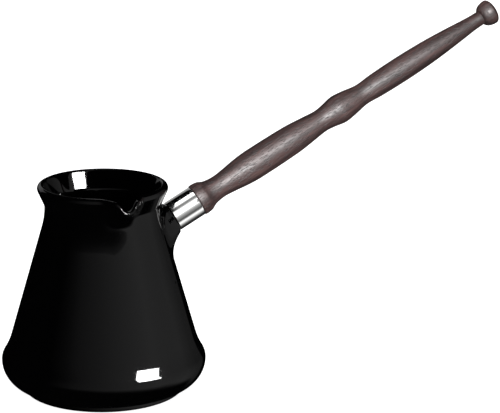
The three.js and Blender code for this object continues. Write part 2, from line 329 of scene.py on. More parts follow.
def threaded_rows(mesh, radius_at, bottom, top, sides):
    """Rings of verts up a threaded wall, whose radius depends on the angle and the height."""
    steps = round((top - bottom) / (THREAD_PITCH / THREAD_ROWS))
    rings = []
    for k in range(steps + 1):
        height = bottom + (top - bottom) * k / steps
        ring = []
        for a in even(sides):
            radius = radius_at(a, height)
            ring.append(mesh.verts.new((radius * cos(a), radius * sin(a), height)))
        rings.append(ring)
    return rings


# ---------------------------------------------------------------- materials
class Nodes:
    """A material's node tree, with short ways to add and join nodes. Scales count noise cells in a
    metre, and distances are in metres."""

    def __init__(self, name):
        self.material = bpy.data.materials.new(name)
        self.material.use_nodes = True
        self.tree = self.material.node_tree
        self.shader = self.tree.nodes["Principled BSDF"]

    def add(self, kind, settings=None, **inputs):
        node = self.tree.nodes.new(kind)
        for key, value in (settings or {}).items():
            setattr(node, key, value)
        for key, value in inputs.items():
            self.put(node, key.replace("_", " "), value)
        return node

    def put(self, node, socket, value):
        target = node.inputs[socket]
        if isinstance(value, bpy.types.NodeSocket):
            self.tree.links.new(value, target)
        else:
            target.default_value = value

    def shade(self, **inputs):
        for key, value in inputs.items():
            self.put(self.shader, key.replace("_", " "), value)

    def object_space(self):
        return self.add("ShaderNodeTexCoord").outputs["Object"]

    def handle_space(self, scale=(1, 1, 1)):
        """Coordinates whose Z runs along the handle's axis."""
        place = self.add("ShaderNodeTexCoord")
        turn = self.add("ShaderNodeMapping", {"vector_type": "TEXTURE"}, Vector=place.outputs["Object"])
        turn.inputs["Location"].default_value = HANDLE_FRAME.translation * MM
        turn.inputs["Rotation"].default_value = HANDLE_FRAME.to_euler()
        mapping = self.add("ShaderNodeMapping", Vector=turn.outputs["Vector"], Scale=scale)
        return mapping.outputs["Vector"]

    def noise(self, vector, scale, detail=2.0, roughness=0.5):
        node = self.add(
            "ShaderNodeTexNoise", Vector=vector, Scale=scale, Detail=detail, Roughness=roughness
        )
        return node.outputs["Fac"]

    def ramp(self, value, *stops):
        """A colour or a grey for the value, from (place, colour) or (place, grey) stops."""
        node = self.add("ShaderNodeValToRGB", Fac=value)
        elements = node.color_ramp.elements
        while len(elements) < len(stops):
            elements.new(0.5)
        for element, (place, colour) in zip(elements, stops):
            element.position = place
            element.color = (*colour, 1) if isinstance(colour, tuple) else (colour, colour, colour, 1)
        return node.outputs["Color"]

    def span(self, value, low, high):
        """The value's 0 to 1 as low to high."""
        node = self.add("ShaderNodeMapRange", Value=value, To_Min=low, To_Max=high)
        return node.outputs["Result"]

    def maths(self, operation, a, b):
        node = self.add("ShaderNodeMath", {"operation": operation})
        self.tree.links.new(a, node.inputs[0])
        if isinstance(b, bpy.types.NodeSocket):
            self.tree.links.new(b, node.inputs[1])
        else:
            node.inputs[1].default_value = b
        return node.outputs[0]

    def bump(self, height, distance, strength=1.0, normal=None):
        node = self.add("ShaderNodeBump", Height=height, Distance=distance, Strength=strength)
        if normal is not None:
            self.put(node, "Normal", normal)
        return node.outputs["Normal"]


def black_glaze():
    n = Nodes("black_glaze")
    space = n.object_space()
    peel = n.noise(space, scale=260, detail=1.5)
    waves = n.noise(space, scale=38, detail=1)
    haze = n.noise(space, scale=90, detail=3)
    soft = n.bump(waves, distance=0.0001, strength=0.2)
    n.shade(
        Base_Color=(0.0005, 0.0005, 0.0006, 1),
        Roughness=n.span(haze, low=0.03, high=0.07),
        Normal=n.bump(peel, distance=0.00001, strength=0.3, normal=soft),
        IOR=1.5,
    )
    return n.material


def polished_steel():
    n = Nodes("polished_steel")
    streaks = n.noise(n.handle_space((1, 1, 0.04)), scale=900, detail=4, roughness=0.6)
    fine = n.noise(n.handle_space((1, 1, 0.15)), scale=2600, detail=2)
    broad = n.bump(streaks, distance=0.00003, strength=0.35)
    n.shade(
        Base_Color=(0.78, 0.78, 0.77, 1),
        Metallic=1.0,
        Roughness=n.span(streaks, low=0.07, high=0.2),
        Normal=n.bump(fine, distance=0.000006, strength=0.5, normal=broad),
    )
    return n.material


def zinc_steel():
    n = Nodes("zinc_steel")
    mottle = n.noise(n.handle_space(), scale=700, detail=3)
    n.shade(
        Base_Color=n.ramp(mottle, (0.3, (0.42, 0.43, 0.45)), (0.7, (0.6, 0.6, 0.6))),
        Metallic=1.0,
        Roughness=n.span(mottle, low=0.25, high=0.45),
        Normal=n.bump(mottle, distance=0.00002, strength=0.3),
    )
    return n.material


def brass():
    n = Nodes("brass")
    rings = n.noise(n.handle_space((0.2, 0.2, 1)), scale=3000, detail=2)
    n.shade(
        Base_Color=n.ramp(rings, (0.3, (0.55, 0.36, 0.13)), (0.7, (0.74, 0.52, 0.22))),
        Metallic=1.0,
        Roughness=n.span(rings, low=0.2, high=0.36),
        Normal=n.bump(rings, distance=0.00001, strength=0.4),
    )
    return n.material


def cement():
    n = Nodes("cement")
    grit = n.noise(n.handle_space(), scale=1600, detail=4, roughness=0.7)
    n.shade(
        Base_Color=n.ramp(grit, (0.3, (0.26, 0.25, 0.23)), (0.7, (0.5, 0.48, 0.45))),
        Roughness=0.9,
        Normal=n.bump(grit, distance=0.0002, strength=0.6),
    )
    return n.material


def red_fibre():
    n = Nodes("red_fibre")
    fibres = n.noise(n.handle_space((1, 0.2, 1)), scale=2200, detail=3, roughness=0.6)
    n.shade(
        Base_Color=n.ramp(fibres, (0.3, (0.16, 0.035, 0.025)), (0.7, (0.36, 0.1, 0.07))),
        Roughness=n.span(fibres, low=0.6, high=0.85),
        Normal=n.bump(fibres, distance=0.00008, strength=0.5),
    )
    return n.material


def dark_wood():
    n = Nodes("dark_wood")
    grain = n.noise(n.handle_space((1, 1, 0.07)), scale=520, detail=5, roughness=0.62)
    bands = n.noise(n.handle_space((1, 1, 0.035)), scale=130, detail=2)
    pores = n.noise(n.handle_space((1, 1, 0.16)), scale=1700, detail=2)
    flecks = n.noise(n.handle_space((1, 1, 0.5)), scale=1100, detail=3, roughness=0.7)
    tone = n.maths("ADD", n.maths("MULTIPLY", grain, 0.6), n.maths("MULTIPLY", bands, 0.4))
    colour = n.ramp(
        tone,
        (0.3, (0.006, 0.0036, 0.0035)),
        (0.45, (0.015, 0.0082, 0.0078)),
        (0.58, (0.031, 0.0165, 0.0155)),
        (0.72, (0.055, 0.031, 0.028)),
    )
    pits = n.ramp(pores, (0.34, 0.0), (0.44, 1.0))
    dark = n.add("ShaderNodeMix", {"data_type": "RGBA", "blend_type": "MULTIPLY"}, Factor=0.7)
    n.tree.links.new(colour, dark.inputs["A"])
    n.tree.links.new(pits, dark.inputs["B"])
    coarse = n.bump(grain, distance=0.0002, strength=0.12)
    rough = n.bump(flecks, distance=0.00015, strength=0.4, normal=coarse)
    n.shade(
        Base_Color=dark.outputs["Result"],
        Roughness=n.span(flecks, low=0.36, high=0.64),
        Normal=n.bump(pits, distance=0.0002, strength=0.55, normal=rough),
    )
    return n.material


GLAZE = black_glaze()
STEEL = polished_steel()
ZINC = zinc_steel()
BRASS = brass()
CEMENT = cement()
FIBRE = red_fibre()
WOOD = dark_wood()

# ---------------------------------------------------------------- the pot's outline
RIM_CENTRE = (RIM_RADIUS - RIM_ROUND, RIM_HEIGHT - RIM_ROUND)
NECK_CENTRE = (NECK_RADIUS + NECK_UPPER_ROUND, NECK_HEIGHT)
FLARE_OUT = RIM_CENTRE[0] - NECK_CENTRE[0]
FLARE_UP = RIM_CENTRE[1] - NECK_CENTRE[1]
FLARE_ANGLE = atan2(FLARE_UP, -FLARE_OUT) - acos(
    (NECK_UPPER_ROUND + RIM_ROUND) / hypot(FLARE_OUT, FLARE_UP)
)
BELLY_OUT = BELLY_RADIUS - FOOT_RADIUS
BELLY_UP = BELLY_HEIGHT - FOOT_HEIGHT
BELLY_ROUND = (BELLY_OUT**2 + BELLY_UP**2) / (2 * BELLY_OUT)


def wall_contour(inset, start_angle):
    """The wall as a chain of tangent arcs from the foot to the flare, moved inwards by inset."""
    shoulder = Vector((BELLY_RADIUS - SHOULDER_ROUND, BELLY_HEIGHT))
    shoulder_normal = Vector((cos(SHOULDER_ANGLE), sin(SHOULDER_ANGLE)))
    shoulder_end = shoulder + shoulder_normal * SHOULDER_ROUND
    cone_normal = Vector((cos(CONE_ANGLE), sin(CONE_ANGLE)))
    lower_neck = Vector((NECK_RADIUS + NECK_LOWER_ROUND, NECK_HEIGHT))
    cone_end = lower_neck - cone_normal * NECK_LOWER_ROUND
    waist_round = (cone_end - shoulder_end).dot(cone_normal) / (shoulder_normal.dot(cone_normal) - 1)
    waist = shoulder_end + shoulder_normal * waist_round
    return [
        *arc(BELLY_RADIUS - BELLY_ROUND, BELLY_HEIGHT, BELLY_ROUND - inset, start_angle, 0, steps=18),
        *arc(*shoulder, SHOULDER_ROUND - inset, 0, SHOULDER_ANGLE, steps=6)[1:],
        *arc(*waist, waist_round + inset, SHOULDER_ANGLE - pi, CONE_ANGLE - pi, steps=12)[1:],
        *arc(*lower_neck, NECK_LOWER_ROUND + inset, CONE_ANGLE + pi, pi, steps=10),
        *arc(*NECK_CENTRE, NECK_UPPER_ROUND + inset, pi, pi - FLARE_ANGLE, steps=6)[1:],
    ]


def outer_contour():
    """From the edge of the foot up the outside to the crest of the rim."""
    foot_start = atan2(-BELLY_UP, BELLY_ROUND - BELLY_OUT)
    return [
        *arc(FOOT_RADIUS - FOOT_EDGE_ROUND, FOOT_EDGE_ROUND, FOOT_EDGE_ROUND, -pi / 2, 0, steps=5),
        *wall_contour(0, foot_start),
        *arc(*RIM_CENTRE, RIM_ROUND, -FLARE_ANGLE, pi / 2, steps=14),
    ]


def inner_contour():
    """From the crest of the rim down the inside to the floor's centre."""
    across = Vector((-cos(FLARE_ANGLE), sin(FLARE_ANGLE)))
    along = Vector((sin(FLARE_ANGLE), cos(FLARE_ANGLE)))
    line = Vector(RIM_CENTRE) + across * (WALL - RIM_ROUND)
    crest = line + along * ((RIM_HEIGHT - line.y) / along.y)
    edge = bezier((RIM_CENTRE[0], RIM_HEIGHT), crest, crest - along * RIM_INNER_ROUND, steps=6)
    belly = wall_contour(WALL, FLOOR_CORNER_ANGLE)
    bend = (belly[0][0] - FLOOR_CORNER_SET, FLOOR_THICKNESS)
    corner = bezier(belly[0], bend, (FLOOR_RADIUS, FLOOR_THICKNESS), steps=8)
    return [*edge[1:], *reversed(belly), *corner[1:], (0, FLOOR_THICKNESS)]


OUTER = spaced(outer_contour(), ROW_SPACING)
INNER = spaced(inner_contour(), ROW_SPACING)


def outer_radius(height):
    """Radius of the outer wall at a height between the widest line and the rim."""
    for (r0, z0), (r1, z1) in zip(OUTER, OUTER[1:]):
        if z0 <= height <= z1 and z1 > z0:
            return r0 + (r1 - r0) * (height - z0) / (z1 - z0)
    return 0.0


def bump_share(distance, width, sharpness):
    """1 in the middle of a bump, and 0 well past its width."""
    return exp(-((abs(distance) / width) ** sharpness))


def shape_spout(mesh):
    """The pouring lip: the wall near -Y is pushed outwards, and its crest dips, most at the rim."""
    for vert in mesh.verts:
        x, y, z = vert.co
        if z < RIM_HEIGHT - SWELL_FADE:
            continue
        along = RIM_RADIUS * (atan2(x, -y) - SPOUT_TURN)
        rise = smoothstep(z, RIM_HEIGHT - SPOUT_FADE, RIM_HEIGHT)
        push = SPOUT_REACH * bump_share(along, SPOUT_WIDTH, SPOUT_SHARPNESS) * rise
        swell_rise = smoothstep(z, RIM_HEIGHT - SWELL_FADE, RIM_HEIGHT)
        push += SWELL_REACH * bump_share(along, SWELL_WIDTH, SWELL_SHARPNESS) * swell_rise
        stretch = 1 + push / hypot(x, y)
        dip = SPOUT_DIP * bump_share(along, DIP_WIDTH, DIP_SHARPNESS) * rise * rise
        vert.co = (x * stretch, y * stretch, z - dip)


# ---------------------------------------------------------------- the boss on the neck
def wall_along_axis(radius, angle):
    """Where the outer wall lies along the handle's axis, at a radius and an angle about that axis."""
    inside, outside = BOSS_ROOT, BOSS_FACE + WALL_SEARCH_BEYOND
    for _ in range(WALL_SEARCH_STEPS):
        middle = (inside + outside) / 2
        place = HANDLE_FRAME @ Vector((radius * cos(angle), radius * sin(angle), middle))
        if hypot(place.x, place.y) < outer_radius(place.z):
            inside = middle
        else:
            outside = middle
    return inside


def boss_outline(angle):
    """Outline of the boss at one angle about its axis, from the wall to the bottom of its hole. It is
    round at its face and flares below, where a long fillet carries it into the wall."""
    below = (1 + cos(angle)) / 2
    radius = BOSS_RADIUS + BOSS_FLARE * below
    slope = BOSS_FLARE_SLOPE * below
    foot = radius + FILLET_ABOVE + (FILLET_BELOW - FILLET_ABOVE) * below
    place = wall_along_axis(foot, angle)
    step = 0.5
    rise = wall_along_axis(foot + step, angle) - wall_along_axis(foot - step, angle)
    wall_slope = rise / (2 * step)
    edge = BOSS_FACE - BOSS_EDGE_ROUND
    back = (edge - place - wall_slope * (radius - foot)) / (1 + wall_slope * slope)
    counterbore = WASHER_RADIUS + FIT_GAP
    counterbore_floor = BOSS_FACE - WASHER_THICKNESS - FIT_GAP
    swing = (radius - slope * BOSS_EDGE_LEAN, edge + BOSS_EDGE_SWING * BOSS_EDGE_ROUND)
    hole_edge = (counterbore + BORE_EDGE_ROUND, BOSS_FACE - BORE_EDGE_ROUND)
    return [
        *bezier((foot, place), (radius + slope * back, edge - back), (radius, edge), steps=18),
        *bezier((radius, edge), swing, (radius - BOSS_FACE_ROUND, BOSS_FACE), steps=8)[1:],
        *arc(*hole_edge, BORE_EDGE_ROUND, pi / 2, pi, steps=3),
        (counterbore, counterbore_floor),
        (BORE_RADIUS, counterbore_floor),
        (BORE_RADIUS, BORE_FLOOR),
    ]


def inside_polygon(x, y, polygon):
    """Whether a line from the point crosses the polygon's sides an odd number of times."""
    crossings = 0
    for (x0, y0), (x1, y1) in zip(polygon, polygon[1:] + polygon[:1]):
        if (y0 > y) != (y1 > y) and x < x0 + (x1 - x0) * (y - y0) / (y1 - y0):
            crossings += 1
    return crossings % 2 == 1


# The window in the outer wall round the boss.
WINDOW_BOTTOM = 66.0
WINDOW_TOP = 113.5
WINDOW_SPAN = radians(36)  # to each side of the handle
WINDOW_GAP = 0.7  # points of the wall closer than this to the boss are left out
WELD = 1e-5


def pot_angles():
    """Angles of the pot's sides, closer together at the pouring lip."""
    middle = -pi / 2 + SPOUT_TURN
    fine = round(2 * SPOUT_SPAN / SPOUT_STEP)
    coarse = round((2 * pi - 2 * SPOUT_SPAN) / SIDE_STEP)
    start = middle - SPOUT_SPAN
    angles = [start + i * 2 * SPOUT_SPAN / fine for i in range(fine)]
    start = middle + SPOUT_SPAN
    angles += [start + i * (2 * pi - 2 * SPOUT_SPAN) / coarse for i in range(coarse)]
    return angles


def pot_body():
    """The turned wall, with the boss let into it and the pouring lip pressed out of it."""
    mesh = bmesh.new()
    angles = pot_angles()
    outer = ring_rows(mesh, OUTER, angles)
    inner = ring_rows(mesh, INNER, angles)
    base = mesh.verts.new((0, 0, 0))
    bridge(mesh, [[base], outer[0]])
    bridge(mesh, [outer[-1], *inner])

    # The window of the outer wall round the boss is left open, then filled to meet the boss.
    rows = [i for i, (_, z) in enumerate(OUTER) if WINDOW_BOTTOM < z < WINDOW_TOP]
    columns = [i for i, a in enumerate(angles) if abs(a) < WINDOW_SPAN]
    first, last = rows[0], rows[-1]
    bridge(mesh, outer[: first + 1])
    bridge(mesh, outer[last:])
    for low, high in zip(outer[first:last], outer[first + 1 : last + 1]):
        for i in range(len(angles)):
            j = (i + 1) % len(angles)
            if not columns[0] <= i < columns[-1]:
                mesh.faces.new((low[i], low[j], high[j], high[i]))

    boss = []
    for angle in even(BOSS_SIDES):
        places = [
            HANDLE_FRAME @ Vector((radius * cos(angle), radius * sin(angle), along))
            for radius, along in boss_outline(angle)
        ]
        boss.append([mesh.verts.new(p) for p in places])
    boss_rings = [list(ring) for ring in zip(*boss)]
    bottom = mesh.verts.new(HANDLE_FRAME @ Vector((0, 0, BORE_FLOOR)))
    bridge(mesh, [*boss_rings, [bottom]])

    # Flat coordinates on the wall: along the circumference, and up.
    def flat(vert):
        return (NECK_RADIUS * atan2(vert.co.y, vert.co.x), vert.co.z)

    hole = [flat(v) for v in boss_rings[0]]
    points = list(boss_rings[0])
    for row in rows:
        for vert in outer[row][columns[0] : columns[-1] + 1]:
            x, y = flat(vert)
            near = min(hypot(x - hx, y - hy) for hx, hy in hole)
            if near > WINDOW_GAP and not inside_polygon(x, y, hole):
                points.append(vert)
    ring_edges = [(k, (k + 1) % BOSS_SIDES) for k in range(BOSS_SIDES)]
    coords = [Vector(flat(v)) for v in points]
    _, _, faces, origins, _, _ = delaunay_2d_cdt(coords, ring_edges, [], 0, WELD)
    for face in faces:
        corners = [points[origins[i][0]] for i in face]
        x = sum(flat(v)[0] for v in corners) / len(corners)
        y = sum(flat(v)[1] for v in corners) / len(corners)
        if not inside_polygon(x, y, hole):
            mesh.faces.new(corners)
    loose = [v for v in mesh.verts if not v.link_faces]
    bmesh.ops.delete(mesh, geom=loose, context="VERTS")
    shape_spout(mesh)
    bmesh.ops.recalc_face_normals(mesh, faces=mesh.faces)
    return new_object("pot_glazed", mesh, "pot", "black_glaze", GLAZE, "pot_body")


# ---------------------------------------------------------------- pieces along the handle's axis
BUSH_MOUTH = BOSS_FACE - WASHER_THICKNESS - FIT_GAP
BUSH_BOTTOM = BORE_FLOOR + FIT_GAP
STUD_HOLE = STUD_RADIUS + FIT_GAP
FERRULE_START = BOSS_FACE + FIT_GAP
FERRULE_BORE = FERRULE_RADIUS - FERRULE_WALL
NUT_START = FERRULE_START + FERRULE_END_WALL + FIT_GAP
LOCK_WASHER_START = NUT_START + NUT_THICKNESS + FIT_GAP
TENON_FACE = LOCK_WASHER_START + LOCK_WASHER_THICKNESS + FIT_GAP
COLLAR_FACE = FERRULE_END + FIT_GAP


def on_axis(name, mesh, body, slot, material, *nodes, sharp=SHARP_EDGE):
    """An object for a mesh that was built about +Z, moved onto the handle's axis."""
    bmesh.ops.recalc_face_normals(mesh, faces=mesh.faces)
    bmesh.ops.transform(mesh, matrix=HANDLE_FRAME, verts=mesh.verts)
    return new_object(name, mesh, body, slot, material, *nodes, sharp=sharp)


def bush_cement():
    inner = BUSH_RADIUS + FIT_GAP
    edge = 0.25
    outline = rounded_ring(inner, inner + CEMENT_THICKNESS, BUSH_BOTTOM, BUSH_MOUTH, edge)
    return on_axis("bush_bedding", turned(outline, RING_SIDES), "pot", "cement", CEMENT, "bush_cement")


def socket_bush():
    mesh = bmesh.new()
    countersink = 0.5

    def bore(angle, height):
        lead_in = countersink * smoothstep(height, BUSH_MOUTH - countersink, BUSH_MOUTH)
        depth = thread_height(angle, height) * (THREAD_CREST - THREAD_ROOT)
        return THREAD_ROOT + THREAD_CLEARANCE + max(depth, lead_in)

    rings = threaded_rows(mesh, bore, BUSH_BOTTOM, BUSH_MOUTH, RING_SIDES)
    edge = 0.3
    outside = ring_rows(
        mesh,
        [
            *arc(BUSH_RADIUS - edge, BUSH_MOUTH - edge, edge, pi / 2, 0, EDGE_STEPS),
            *arc(BUSH_RADIUS - edge, BUSH_BOTTOM + edge, edge, 0, -pi / 2, EDGE_STEPS),
        ],
        even(RING_SIDES),
    )
    bridge(mesh, [*rings, *outside, rings[0]])
    return on_axis("threaded_bush", mesh, "pot", "brass", BRASS, "socket_bush")


def heat_washer():
    edge = 0.2
    outline = rounded_ring(STUD_HOLE, WASHER_RADIUS, BOSS_FACE - WASHER_THICKNESS, BOSS_FACE, edge)
    return on_axis("fibre_washer", turned(outline, RING_SIDES), "pot", "red_fibre", FIBRE, "heat_washer")


def ferrule():
    inside_end = FERRULE_START + FERRULE_END_WALL
    hole_edge = 0.2
    corner = 0.5
    rows, first_row, row_spacing = 10, 1.0, 1.5
    lip = FERRULE_WALL / 2
    outline = [
        *arc(STUD_HOLE + hole_edge, FERRULE_START + hole_edge, hole_edge, pi, 3 * pi / 2, steps=3),
        *arc(FERRULE_RADIUS - corner, FERRULE_START + corner, corner, -pi / 2, 0, steps=6),
        *[(FERRULE_RADIUS, FERRULE_START + first_row + row_spacing * k) for k in range(rows)],
        *arc(FERRULE_RADIUS - lip, FERRULE_END - lip, lip, 0, pi, steps=8),
        (FERRULE_BORE, inside_end),
        (STUD_HOLE, inside_end),
    ]
    mesh = turned(outline, FERRULE_SIDES)
    return on_axis("steel_ferrule", mesh, "ferrule_ring", "polished_steel", STEEL, "ferrule")


def tie_stud():
    """The thread tapers away at both ends."""
    mesh = bmesh.new()
    taper = 0.9
    end_radius = THREAD_ROOT - 0.45
    rise = 0.8

    def radius_at(angle, height):
        full = THREAD_ROOT + thread_height(angle, height) * (THREAD_CREST - THREAD_ROOT)
        from_end = min(height - STUD_TIP, STUD_TAIL - height)
        return min(full, end_radius + rise * smoothstep(from_end, 0, taper))

    rings = threaded_rows(mesh, radius_at, STUD_TIP, STUD_TAIL, STUD_SIDES)
    tip = mesh.verts.new((0, 0, STUD_TIP))
    tail = mesh.verts.new((0, 0, STUD_TAIL))
    bridge(mesh, [[tip], *rings, [tail]])
    return on_axis("threaded_stud", mesh, "handle_unit", "zinc_steel", ZINC, "tie_stud", sharp=50)


def lock_nut():
    """A hexagon whose corners are cut back by a chamfer cone at both faces."""
    mesh = bmesh.new()
    flat = NUT_ACROSS_FLATS / 2
    face_radius = flat - 0.1
    chamfer_slope = tan(radians(30))
    row_count, row_spacing = 6, 0.15
    rows = [row_spacing * k for k in range(row_count)]
    heights = [NUT_START + h for h in rows] + [NUT_START + NUT_THICKNESS - h for h in reversed(rows)]
    rings = []
    for height in heights:
        from_face = min(height - NUT_START, NUT_START + NUT_THICKNESS - height)
        cone = face_radius + from_face / chamfer_slope
        ring = []
        for a in even(NUT_SIDES):
            turn = (a + pi / 6) % (pi / 3) - pi / 6
            radius = min(flat / cos(turn), cone)
            ring.append(mesh.verts.new((radius * cos(a), radius * sin(a), height)))
        rings.append(ring)
    bore = ring_rows(mesh, [(STUD_HOLE, heights[-1]), (STUD_HOLE, heights[0])], even(NUT_SIDES))
    bridge(mesh, [*rings, *bore, rings[0]])
    return on_axis("thin_nut", mesh, "handle_unit", "zinc_steel", ZINC, "lock_nut", sharp=25)


def lock_washer():
    top = LOCK_WASHER_START + LOCK_WASHER_THICKNESS
    edge = 0.2
    outline = rounded_ring(STUD_HOLE, LOCK_WASHER_RADIUS, LOCK_WASHER_START, top, edge)
    mesh = turned(outline, RING_SIDES)
    return on_axis("plain_washer", mesh, "handle_unit", "zinc_steel", ZINC, "lock_washer")


def handle_insert():
    """The insert has a coarse outside thread that bites the wood."""
    mesh = bmesh.new()
    thread_depth = 0.5

    def outside(angle, height):
        return INSERT_RADIUS - thread_depth * (1 - thread_height(angle, height))

    rings = threaded_rows(mesh, outside, TENON_FACE, INSERT_END, RING_SIDES)
    bore = ring_rows(mesh, [(STUD_HOLE, INSERT_END), (STUD_HOLE, TENON_FACE)], even(RING_SIDES))
    bridge(mesh, [*rings, *bore, rings[0]])
    return on_axis("wood_insert", mesh, "handle_unit", "brass", BRASS, "handle_insert", sharp=50)


def handle_outline():
    """From the bottom of the stud's hole over the tenon, the collar and the grip to the knob's face."""

    def along(distance):
        return COLLAR_FACE + distance

    tenon = FERRULE_BORE - FIT_GAP
    tenon_edge = 0.4
    knob_end = along(HANDLE_LENGTH)
    grip = [(radius, along(distance)) for distance, radius in HANDLE_OUTLINE]
    return [
        (0, STUD_TAIL + FIT_GAP),
        (STUD_HOLE, STUD_TAIL + FIT_GAP),
        (STUD_HOLE, INSERT_END + FIT_GAP),
        (INSERT_RADIUS + FIT_GAP, INSERT_END + FIT_GAP),
        (INSERT_RADIUS + FIT_GAP, TENON_FACE),
        *arc(tenon - tenon_edge, TENON_FACE + tenon_edge, tenon_edge, -pi / 2, 0, EDGE_STEPS),
        (tenon, COLLAR_FACE),
        (COLLAR_FACE_RADIUS - COLLAR_EDGE_BREAK, COLLAR_FACE),
        *bezier(
            (COLLAR_FACE_RADIUS, along(COLLAR_EDGE_BREAK / 2)),
            (COLLAR_BOW_RADIUS, along(COLLAR_BOW)),
            (COLLAR_EDGE_RADIUS, along(COLLAR_LENGTH)),
            steps=14,
        ),
        *spline(grip, per_span=8),
        *bezier(
            (KNOB_NECK, along(KNOB_START)),
            (KNOB_BACK_RADIUS, along(KNOB_START + KNOB_BACK_BOW)),
            (KNOB_RADIUS, along(KNOB_RIM_START)),
            steps=14,
        ),
        *bezier(
            (KNOB_RADIUS, along(KNOB_RIM_START + KNOB_RIM_ROUND)),
            (KNOB_FACE_RADIUS, knob_end - KNOB_FACE_BOW),
            (0, knob_end),
            steps=16,
        ),
    ]


def handle():
    mesh = turned(spaced(handle_outline(), HANDLE_ROW_SPACING), HANDLE_SIDES)
    return on_axis("turned_handle", mesh, "handle_unit", "dark_wood", WOOD, "handle", sharp=40)


pot_piece = pot_body()
metal_pieces = [socket_bush(), ferrule(), tie_stud(), lock_nut(), lock_washer(), handle_insert()]
bare_pieces = [pot_piece, bush_cement(), heat_washer(), *metal_pieces]
handle_piece = handle()

# ---------------------------------------------------------------- camera
CAMERA_AZIMUTH = radians(16.0)  # from -Y towards -X
CAMERA_DISTANCE = 1216.4
CAMERA_HEIGHT = 435.2
CAMERA_YAW = radians(20.02)
CAMERA_PITCH = radians(14.99)
CAMERA_ROLL = radians(0.55)
FOCAL_LENGTH = 156.1
SENSOR_WIDTH = 36
NEAREST_SEEN = 0.05
FARTHEST_SEEN = 50


def camera():
    """The camera that was fitted to the photo's outlines."""
    data = bpy.data.cameras.new("camera")
    data.lens = FOCAL_LENGTH
    data.sensor_width = SENSOR_WIDTH
    data.clip_start = NEAREST_SEEN
    data.clip_end = FARTHEST_SEEN
    obj = bpy.data.objects.new("camera", data)
    bpy.context.scene.collection.objects.link(obj)
    place = Vector((-sin(CAMERA_AZIMUTH), -cos(CAMERA_AZIMUTH), 0)) * CAMERA_DISTANCE
    place.z = CAMERA_HEIGHT
    turn = (
        Matrix.Rotation(-CAMERA_YAW, 4, "Z")
        @ Matrix.Rotation(pi / 2 - CAMERA_PITCH, 4, "X")
        @ Matrix.Rotation(CAMERA_ROLL, 4, "Z")
    )
    obj.matrix_world = Matrix.Translation(place * MM) @ turn
    bpy.context.scene.camera = obj


# ---------------------------------------------------------------- light
CARD_COLUMNS = 64
CARD_ROWS = 16
STUDIO_DARKNESS = 0.001
FLOOR_GLOW = 1.0
FLOOR_REACH = 6
FLOOR_DROP = 0.0002  # keeps the floor just clear of the foot
WHITE = (1, 1, 1, 1)


def stations_at(stations, x):
    """The value at x of a line through the stations, which are (x, value) pairs."""
    for (x0, y0), (x1, y1) in zip(stations, stations[1:]):
        if x <= x1:
            return y0 + (y1 - y0) * (x - x0) / (x1 - x0)
    return stations[-1][1]


def around(azimuth, elevation, distance):
    """A point at a distance from the pot's neck, at an azimuth from +X and an elevation (degrees)."""
    a, e = radians(azimuth), radians(elevation)
    neck = Vector((0, 0, NECK_HEIGHT * MM))
    return Vector((cos(a) * cos(e), sin(a) * cos(e), sin(e))) * distance + neck


def around_axis(angle, along, distance):
    """A point at a distance from the handle's axis, at an angle about it (degrees)."""
    a = radians(angle)
    start = Vector((0, 0, HANDLE_AXIS_HEIGHT * MM))
    return HANDLE_FRAME.to_3x3() @ Vector((distance * cos(a), distance * sin(a), along)) + start


def light_only(obj, *pieces):
    """Makes a light or a glowing card reach only these pieces."""
    lit = bpy.data.collections.new(obj.name + "_receivers")
    for piece in pieces:
        lit.objects.link(piece)
    obj.light_linking.receiver_collection = lit


def area_light(name, place, target, size, power, seen_in_gloss=False):
    """A soft rectangular light at place that faces target, with places and sizes in metres and the
    power in watts."""
    data = bpy.data.lights.new(name, "AREA")
    data.shape = "RECTANGLE"
    data.size, data.size_y = size
    data.energy = power
    obj = bpy.data.objects.new(name, data)
    bpy.context.scene.collection.objects.link(obj)
    turn = (Vector(target) - Vector(place)).to_track_quat("-Z", "Y")
    obj.matrix_world = Matrix.Translation(place) @ turn.to_matrix().to_4x4()
    obj.visible_glossy = seen_in_gloss
    return obj


def card_object(name, place_at, nodes, surface):
    """A studio panel that is only seen in reflections, with the surface socket of its nodes as its
    look. place_at(u, v) is its place, for u and v from 0 to 1."""
    mesh = bmesh.new()
    uv = mesh.loops.layers.uv.new("place")
    columns, rows = CARD_COLUMNS, CARD_ROWS
    grid = [
        [mesh.verts.new(place_at(i / columns, k / rows)) for k in range(rows + 1)]
        for i in range(columns + 1)
    ]
    for i in range(columns):
        for k in range(rows):
            corners = ((i, k), (i + 1, k), (i + 1, k + 1), (i, k + 1))
            face = mesh.faces.new([grid[c][r] for c, r in corners])
            for loop, (c, r) in zip(face.loops, corners):
                loop[uv].uv = (c / columns, r / rows)
    data = bpy.data.meshes.new(name)
    mesh.to_mesh(data)
    mesh.free()
    nodes.tree.links.new(surface, nodes.tree.nodes["Material Output"].inputs["Surface"])
    data.materials.append(nodes.material)
    obj = bpy.data.objects.new(name, data)
    bpy.context.scene.collection.objects.link(obj)
    obj.visible_camera = False
    obj.visible_diffuse = False
    obj.visible_shadow = False
    return obj


def card_nodes(name):
    """Nodes for a card, and the sockets of its u and v."""
    n = Nodes(name)
    n.tree.nodes.remove(n.shader)
    place = n.add("ShaderNodeUVMap", {"uv_map": "place"})
    split = n.add("ShaderNodeSeparateXYZ", Vector=place.outputs["UV"])
    return n, split.outputs["X"], split.outputs["Y"]


